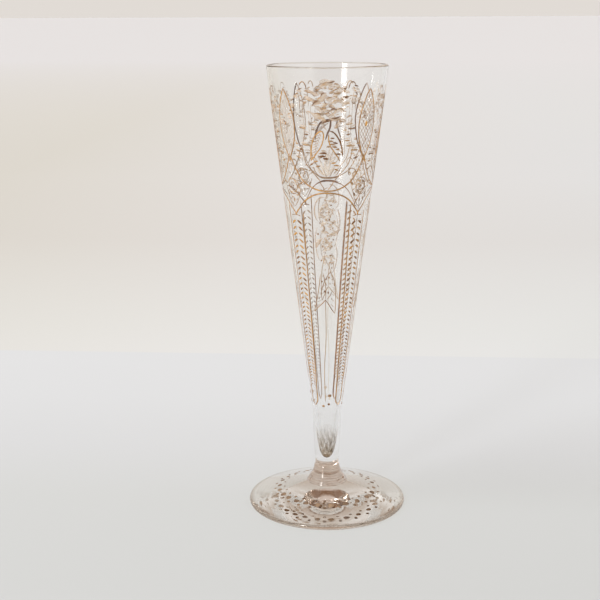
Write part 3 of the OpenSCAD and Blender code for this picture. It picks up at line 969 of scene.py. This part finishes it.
BOUQUET = [(3, 193.2, 3.6), (8.5, 192.4, 2.6), (-3, 191.6, 3.0), (-9, 190.8, 3.4), (12.5, 190.8, 3.0),
           (17, 190.6, 2.0), (-18.5, 189.8, 4.2), (3.5, 190.4, 2.6), (-12, 188.6, 3.6), (9, 188.8, 4.2),
           (-4, 188.2, 2.8), (-27, 187.4, 3.0), (-18, 186.8, 3.4), (1.5, 186.9, 3.0), (-7, 186.2, 3.4),
           (18, 187.9, 2.8), (14, 185.9, 3.0), (7.5, 185.4, 2.6), (26.5, 185.3, 2.4), (-22, 184.6, 3.0),
           (-10.5, 184.4, 4.2), (-3, 184.0, 3.0), (19, 184.6, 3.6), (2.5, 182.7, 2.6), (-4, 182.3, 3.2),
           (6, 181.7, 3.4), (14, 182.3, 3.6), (-18, 181.6, 2.6), (0.5, 180.7, 2.6), (-10, 180.0, 4.6),
           (8.5, 179.4, 4.2), (22.5, 179.2, 2.6), (-5.5, 178.0, 4.2), (14.5, 177.0, 2.8), (-13, 176.4, 2.6),
           (-1.5, 176.2, 3.2), (9.5, 175.2, 2.4)]
BOUQUET_TONES = (0.02, 0.5, 0.75, 0.35, 0.65)
BOUQUET_DROP, SCROLL_DROP = 3.0, 2.6  # how far lower they sit on every panel but the front one


def bouquet_petals(p):
    for k in panels(p, True):
        if k:
            p.lift -= BOUQUET_DROP
        for i, (a, z, long) in enumerate(BOUQUET):
            if k:
                a, z = a + jog(1.6), z + jog(0.5)
            lean = jog(32)
            if i % 4 != 3:
                p.petal(a + jog(0.8), z + 0.4 + jog(0.5), long * (1.15 + jog(0.2)), 1.3 + 0.9 * rng.random(),
                        lean, 0.06, 0.4 + jog(0.35), PALE, jog(0.16))
            p.petal(a + jog(0.6), z + 0.5 + jog(0.5), long * (0.85 + jog(0.2)),
                    (0.5 if i % 5 else 0.8) + jog(0.15), lean + jog(22), 0.1,
                    BOUQUET_TONES[i % 5] + jog(0.1), GOLD, 0.2 if i % 3 else -0.12)
            if i % 2:
                p.petal(a + jog(3.0), z - 0.5 + jog(0.8), 1.3 + rng.random(), 0.3 + 0.2 * rng.random(),
                        jog(55), 0.07, BOUQUET_TONES[(i + 2) % 5], GOLD, jog(0.25))
        for side in (-1, 1):
            for q in range(7):
                p.petal(side * (28 + 2.2 * q + jog(1.5)), 191.5 - 1.9 * q + jog(0.8), 1.8 + jog(0.4), 0.6,
                        side * -20 + jog(30), 0.07, 0.4 + jog(0.3), GOLD, 0.1)
                p.petal(side * (29 + 2.0 * q + jog(2)), 190.5 - 1.9 * q + jog(0.8), 2.4, 1.1, jog(30),
                        0.06, 0.5, PALE, 0.1)


# ---- tulips

TULIP_LEFT = [(-18.4, 161.2), (-18.3, 163.5), (-17.3, 167), (-15, 170.4), (-11, 172.5), (-6.5, 173.6),
              (-4.2, 172.6), (-4.3, 170.2), (-7, 167.0), (-12, 164.2), (-16.5, 162.0), (-19, 160.9)]
TULIP_RIGHT = [(2.5, 173.6), (6, 173.2), (10, 171.6), (14, 168.8), (16.6, 165), (16.9, 162.8)]
TULIP_INNER = [(1.6, 172.4), (1.5, 170), (3.2, 167.4), (7, 165.2), (11, 163), (14.6, 160.8)]
TULIP_NEAR = [(TULIP_LEFT, 0.5, 0.09, 0.78, 0.04), (TULIP_RIGHT, 0.6, 0.09, 0.24, 0.08),
              (TULIP_INNER, 0.5, 0.09, 0.6, 0.08)]
TULIP_PETALS = [(5.5, 170.6, 1.8), (8.6, 168.6, 2.2), (8.0, 166.9, 2.4), (11.5, 166.0, 1.6),
                (12.6, 163.9, 1.8)]
# the one on the panel behind: its leaf, its tip and its side
TULIP_FAR = [
    ([(20, 165.5), (18.5, 168.3), (14, 171.6), (8, 173.6), (1, 174.2), (-3.4, 173.8), (-3.2, 171), (0, 168),
      (3, 165.2)], 0.85, 0.09, 0.05, 0.12),
    ([(-10.4, 171.4), (-11.4, 174.0), (-14.2, 174.6), (-16.2, 172.6)], 0.55, 0.09, 0.05, 0.12),
    ([(-10.8, 172.2), (-13.4, 169.2), (-16.1, 166.0), (-17.2, 162.4)], 0.65, 0.09, 0.05, 0.12)]


def tulip_leaves(p):
    for k in panels(p, True):
        if k == BEHIND:
            p.strokes(TULIP_FAR)
            for i in range(9):
                a = 16.5 - 1.9 * i
                path = [(a, 167.4 + 0.62 * i), (a - 2.6, 171.2 + 0.2 * i)]
                p.stroke(path, 0.26, 0.05, 0.35 + jog(0.3), taper=0.2)
            continue
        p.strokes(TULIP_NEAR)
        for i in range(9):
            z = 163.2 + 1.12 * i
            path = [(-17.2 + 0.9 * i * 0.5, z), (-12.8 + 0.85 * i, z + 0.9 + 0.05 * i)]
            p.stroke(path, 0.2, 0.04, 0.4 + jog(0.2), taper=0.2)
        for i in range(7):
            z = 164.4 + 1.3 * i
            path = [(-14.6 + 1.0 * i, z + 0.6), (-12.0 + 0.9 * i, z - 0.9)]
            p.stroke(path, 0.16, 0.03, 0.4 + jog(0.2), taper=0.2)
        for a, z, long in TULIP_PETALS:
            p.petal(a, z, long, 0.8, jog(12), 0.1, 0.2 + jog(0.25))


# ---- buds: angle, height, length, lean of each petal, and its tone where it is gold

BUD_PALE = [(-8, 156.6, 4.6, 128), (-5, 158.2, 5.0, 112), (-1.6, 158.8, 5.2, 96), (2.2, 158.2, 4.8, 76),
            (5.4, 156.8, 4.4, 58), (-3.4, 155.8, 3.6, 104), (1.0, 155.6, 3.4, 80)]
BUD_GOLD = [(10.5, 158.9, 2.6, -8, 0.7), (7, 160.0, 2.2, 6, 0.8), (-10.5, 158.6, 2.2, 12, 0.45),
            (10.5, 157.1, 2.0, -25, 0.6), (-13, 160.6, 2.4, 16, 0.4), (-18, 159.4, 2.2, 32, 0.3),
            (-6, 162.8, 3.4, 4, 0.0), (-1.6, 161.8, 2.6, -6, 0.1), (-4, 164.2, 2.8, -5, 0.05)]
BUD_STEMS = [([(-16, 158.5), (-14.4, 156.8), (-12, 155.4), (-9.5, 154.6)], 0.3, 0.05, 0.4, 0.2),
             ([(16, 158.5), (14, 156.8), (11.5, 155.4), (9, 154.6)], 0.3, 0.05, 0.4, 0.2)]


def bud_palmettes(p):
    for _ in panels(p, True):
        for a, z, long, lean in BUD_PALE:
            p.petal(a, z, long, 1.25, lean, 0.1, 0.75 + jog(0.3), PALE, 0.04)
        for a, z, long, lean, tone in BUD_GOLD:
            p.petal(a, z, long, 0.95 if tone < 0.2 else 0.75, lean, 0.1, tone + jog(0.1), GOLD, 0.05)
        p.strokes(BUD_STEMS)


# ---- scrolls and stems at the sides of each panel, mirrored

SCROLLS = [
    ([(20.2, 191.0), (21.4, 193.0), (23.6, 194.0), (26, 193.6), (27.6, 192.4)], 0.42, 0.07, 0.35, 0.15),
    ([(25, 184), (25.3, 180), (24.8, 175), (26, 170.5), (28, 168)], 0.32, 0.05, 0.2, 0.1, PALE),
    ([(18.4, 182), (19.2, 176), (18.6, 170), (19.4, 162)], 0.32, 0.05, 0.2, 0.1, PALE),
    ([(28.6, 167), (27.8, 164), (25, 160), (20, 157.4), (13, 154.4), (8, 152.2)], 0.4, 0.07, 0.5, 0.06),
    ([(30, 190), (28, 186), (29, 182)], 0.28, 0.05, 0.3, 0.2)]
SCROLL_PETALS = [(25, 174.6, 2.6), (28, 174.9, 1.8), (22, 172.3, 2.0), (24.5, 167.6, 3.0), (33, 165.4, 2.6),
                 (28.6, 165.8, 2.2), (33.4, 162.4, 2.6), (35.5, 168.2, 1.6)]
# upright stems of the side panels: angle, top, bottom
STEMS_HIGH, STEMS_LOW = [(0, 192, 150), (-7, 190, 154), (6.5, 189, 154)], [(-5, 145, 62), (3, 145, 62)]
STEMS_MIDDLE = {1: -2, 3: 9}


def side_scrolls(p):
    for k in panels(p, True):
        if k:
            p.lift -= SCROLL_DROP
        for side in (-1, 1):
            p.strokes(SCROLLS, side)
            for a, z, long in SCROLL_PETALS:
                p.petal(side * a + jog(0.8), z + jog(0.4), long, 0.85, side * 8 + jog(12), 0.1,
                        0.5 + jog(0.25))
                p.petal(side * a + jog(0.8), z + 0.9, long, 0.8, side * 8 + jog(12), 0.07, 0.6, PALE)
        if k in STEMS_MIDDLE:
            for stems, spots, wander, width, height, taper in ((STEMS_HIGH, 9, 1.2, 0.48, 0.07, 0.06),
                                                               (STEMS_LOW, 12, 1.0, 0.4, 0.06, 0.04)):
                for a, top, low in stems:
                    path = [(STEMS_MIDDLE[k] + a + jog(wander), z) for z in np.linspace(top, low, spots)]
                    p.stroke(path, width, height, 0.45 + jog(0.2), taper=taper)


# ---- pendant flowers: angle, height and size of each, loose spots, and the ribbons round them

FLOWERS = [(-3, 139.2, 3.6), (3.5, 132.0, 4.0), (-3.5, 124.8, 3.8), (2.5, 117.8, 2.8)]
PENDANT_SPOTS = [(5, 141.8), (-8, 138.5), (3, 138.7), (3, 135.5), (-1, 135.5), (8, 134), (-10, 134),
                 (-6, 130.5), (-13, 129), (-10, 126), (6, 125.5), (9, 126.5), (-7, 123.5), (0, 128.4),
                 (4.5, 131.2), (-3, 120.6), (5, 119.4), (-9, 117.2)]
RIBBONS = [
    ([(-3, 145.4), (-9, 145.0), (-14.6, 143.0), (-17, 139.8), (-16, 136.4), (-12.4, 134.6)],
     0.6, 0.06, 0.0, 0.2, PALE),
    ([(-2, 144), (4, 143.6), (9, 142.8), (13, 143.6)], 0.5, 0.05, 0.1, 0.25, PALE),
    ([(13.5, 140.5), (17.2, 136), (17, 132), (14, 128.8), (9, 128.2)], 0.6, 0.06, 0.0, 0.2, PALE),
    ([(-14, 132), (-17.5, 127), (-16, 121), (-12, 117)], 0.5, 0.05, 0.1, 0.2, PALE),
    ([(12, 125), (15.5, 120), (13, 114), (8, 111.5)], 0.5, 0.05, 0.1, 0.2, PALE)]


def pendant_flowers(p):
    for k in panels(p, True):
        for a0, z0, size in FLOWERS:
            across = bowl_scale(z0)[0]
            for q in range(9):
                turn, far = math.radians(40 * q + jog(18)), size * (0.8 + jog(0.3))
                p.petal(a0 + far * math.cos(turn) / across, z0 + 0.85 * far * math.sin(turn),
                        size * (0.75 + jog(0.2)), 0.8 + 0.5 * rng.random(), math.degrees(turn) + 80 + jog(35),
                        0.06, 0.6 + jog(0.4), PALE, 0.16 + jog(0.1))
            for q in range(6):
                turn, far = math.radians(60 * q + jog(30)), size * (0.75 + jog(0.4))
                p.petal(a0 + far * math.cos(turn) / across, z0 + 0.85 * far * math.sin(turn),
                        1.9 + jog(0.6), 0.36, math.degrees(turn) + 90 + jog(40),
                        0.06, 0.55 + jog(0.3), GOLD if q % 2 else PALE, 0.2)
        for a, z in PENDANT_SPOTS:
            if k:
                a, z = a + jog(1.5), z + jog(0.6)
            p.dab(a, z, 0.7 + jog(0.15), 0.09, 0.2 + jog(0.3))
        p.strokes(RIBBONS)


# ---- tassel, centre line and its dots

TASSEL = [([(-3, 99), (-9, 97.4), (-17, 95.6), (-26, 93.4)], 0.4, 0.07, 0.6, 0.05),
          ([(-26, 93.4), (-20, 98), (-15, 104), (-11, 111)], 0.34, 0.06, 0.5, 0.1),
          ([(-3, 99), (2, 97.4), (8, 95), (15.5, 92.6)], 0.36, 0.07, 0.45, 0.05),
          ([(15.5, 92.6), (16.4, 98), (14.6, 104), (11, 109), (4, 112.2)], 0.34, 0.06, 0.5, 0.1),
          ([(-3, 99), (-2, 103), (-3.4, 107), (-7, 111.6)], 0.32, 0.06, 0.5, 0.15),
          ([(-0.5, 99.2), (5, 100.8), (9, 103)], 0.32, 0.06, 0.3, 0.2),
          ([(-12, 101), (-7, 106), (0, 109.8), (8, 113)], 0.3, 0.06, 0.35, 0.15)]
TASSEL_DOTS = [(-4, 103, 1.1), (-9, 107.5, 0.9), (2, 102.4, 1.0), (5, 106.5, 0.7), (-15, 99.6, 0.7),
               (8.5, 99.5, 0.6)]
TASSEL_VEIN = 0.2, 0.04, 0.35, GOLD, 0.3
CENTRE_LINE = [(-3, 99), (-2.2, 90), (-2, 82), (-3.6, 75), (-6, 69), (-7, 62), (-6.2, 55), (-5, 50)]
TIP_DOTS = [(9, 53, 1.5), (7, 48.8, 1.1), (-13, 47.9, 1.15)]


def tassel_leaves(p):
    for _ in panels(p, True):
        p.strokes(TASSEL)
        for a, z, d in TASSEL_DOTS:
            p.dab(a, z, d, 0.1, 0.15, long=0.7)
        for i in range(5):
            p.stroke([(-22 + 2.6 * i, 95.6 + 2.2 * i), (-13 + 1.8 * i, 97.3 + 1.6 * i)], *TASSEL_VEIN)
            p.stroke([(7 + 1.2 * i, 97 + 2.4 * i), (13.5 + 0.2 * i, 95.6 + 2.6 * i)], *TASSEL_VEIN)


def centre_lines(p):
    for k in panels(p, True):
        # painted light: on every panel but the front one the underside is painted pale
        p.stroke(CENTRE_LINE, 0.3, 0.07, 0.62, taper=0.03, under=PAINTED_LIT_BACK if k else BACK)


def tip_dots(p):
    for k in panels(p):
        for a, z, d in TIP_DOTS:
            # painted light: on every panel but the front one the underside is painted pale
            p.dab(a, z, d, 0.14, 0.4, long=1.15, under=PAINTED_LIT_BACK if k else BACK)


# ---- dots on the foot

DOT_R, OUTER_STEP, INNER_STEP = 22.05, 1.85, 2.4
LARGE_D, OUTER_D, INNER_D = 2.5, 1.5, 1.3
FRONT_DOTS = [-64.5, -52.5, -38.5, -25.5, -10.5, 5, 23, 39, 56, 72]  # set by eye, so not quite even
DOT_COUNT = 24
BACK_SHRINK = 0.8  # the dots behind the stem are worn smaller


def dot_angles():
    rest = DOT_COUNT - len(FRONT_DOTS)
    span = 360 - (FRONT_DOTS[-1] - FRONT_DOTS[0])
    return FRONT_DOTS + [FRONT_DOTS[-1] + span * (i + 1) / (rest + 1) + jog(1.6) for i in range(rest)]


def foot_dots():
    """A ring of large dots, with a small one outside and one inside each gap."""
    large, small = Paint(on_foot, foot_scale), Paint(on_foot, foot_scale)
    angles = dot_angles()
    for a, following in zip(angles, angles[1:] + [angles[0] + 360]):
        half = (a + following) / 2
        # painted light: dots further round than 58 degrees get the pale underside
        under = BACK if abs(a) < 58 else PAINTED_LIT_BACK
        worn = BACK_SHRINK if 75 < a < 290 else 1
        large.dab(a, DOT_R + jog(0.2), worn * (LARGE_D + jog(0.2)), 0.13, 0.42 + jog(0.2),
                  long=1.1, lean=jog(15), under=under)
        for d, r in ((OUTER_D, DOT_R + OUTER_STEP), (INNER_D, DOT_R - INNER_STEP)):
            small.dab(half + jog(0.8), r + jog(0.25), worn * (d + jog(0.2)), 0.12, 0.3 + jog(0.15),
                      rough=0.08, under=under)
    large.piece("foot_large_dots", "fired_gold", DOTS)
    small.piece("foot_small_dots", "fired_gold", DOTS)


# each painting function has the name of the node that its layer replaces
LAYERS = [(lancet_outlines, LINE), (lancet_lattice, HATCH), (lancet_beads, LINE), (swags, LEAF),
          (arcade_arches, LINE), (band_borders, LINE), (band_leaves, LEAF), (spandrel_roses, SOFT),
          (bouquet_petals, SOFT), (tulip_leaves, LINE), (bud_palmettes, BUD), (side_scrolls, SOFT),
          (pendant_flowers, SOFT), (tassel_leaves, SOFT), (centre_lines, SOFT), (tip_dots, SOFT)]
ENAMELLED = (bud_palmettes, pendant_flowers)

for draw, materials in LAYERS:
    layer = Paint()
    draw(layer)
    layer.piece(draw.__name__, "matt_enamel" if draw in ENAMELLED else "fired_gold", materials)
foot_dots()
